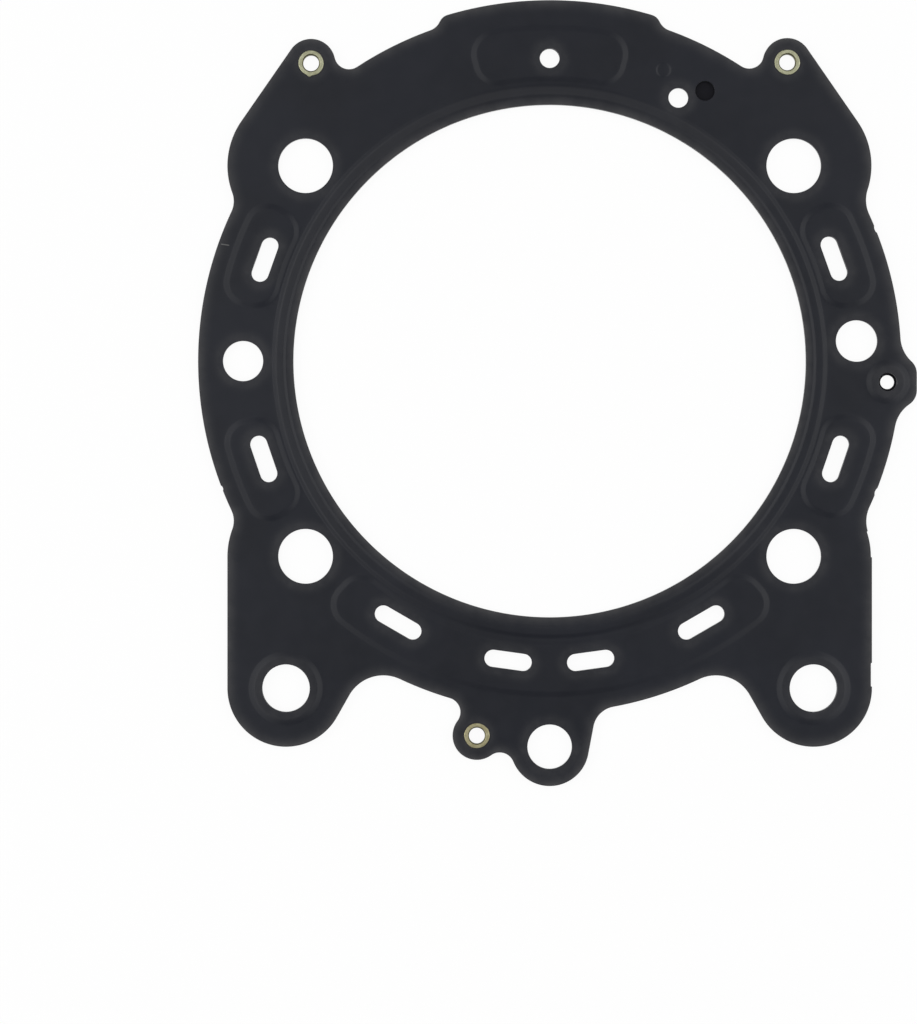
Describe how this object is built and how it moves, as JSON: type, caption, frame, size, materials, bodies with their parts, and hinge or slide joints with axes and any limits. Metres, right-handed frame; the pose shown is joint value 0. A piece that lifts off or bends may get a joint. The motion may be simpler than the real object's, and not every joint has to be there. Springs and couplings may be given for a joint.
{
  "type": "cylinder head gasket",
  "caption": "Flat multi-layer steel gasket that seals a cylinder head to its block, with embossed beads round the cylinder opening and coolant slots, stud holes and hollow eyelets.",
  "frame": {"origin": "on the cylinder axis, at the height of the lowest bead crests, on which the gasket lies", "axes": "+Z along the cylinder axis towards the cylinder head; +Y towards the stepped pad opposite the leg bolts; +X towards the lobe with the oil passage"},
  "size_m": [0.1472, 0.1609, 0.0014],
  "materials": {
    "coated_steel": "satin black rubber coating on spring steel",
    "carrier_steel": "dull dark steel sheet",
    "stopper_steel": "plain thin steel",
    "eyelet_brass": "satin pale brass"
  },
  "bodies": {
    "root": {"upper_layer": "coated_steel", "carrier_layer": "carrier_steel", "lower_layer": "coated_steel", "stopper_ring": "stopper_steel", "eyelet_left": "eyelet_brass", "eyelet_right": "eyelet_brass", "eyelet_lower": "eyelet_brass"}
  },
  "joints": []
}
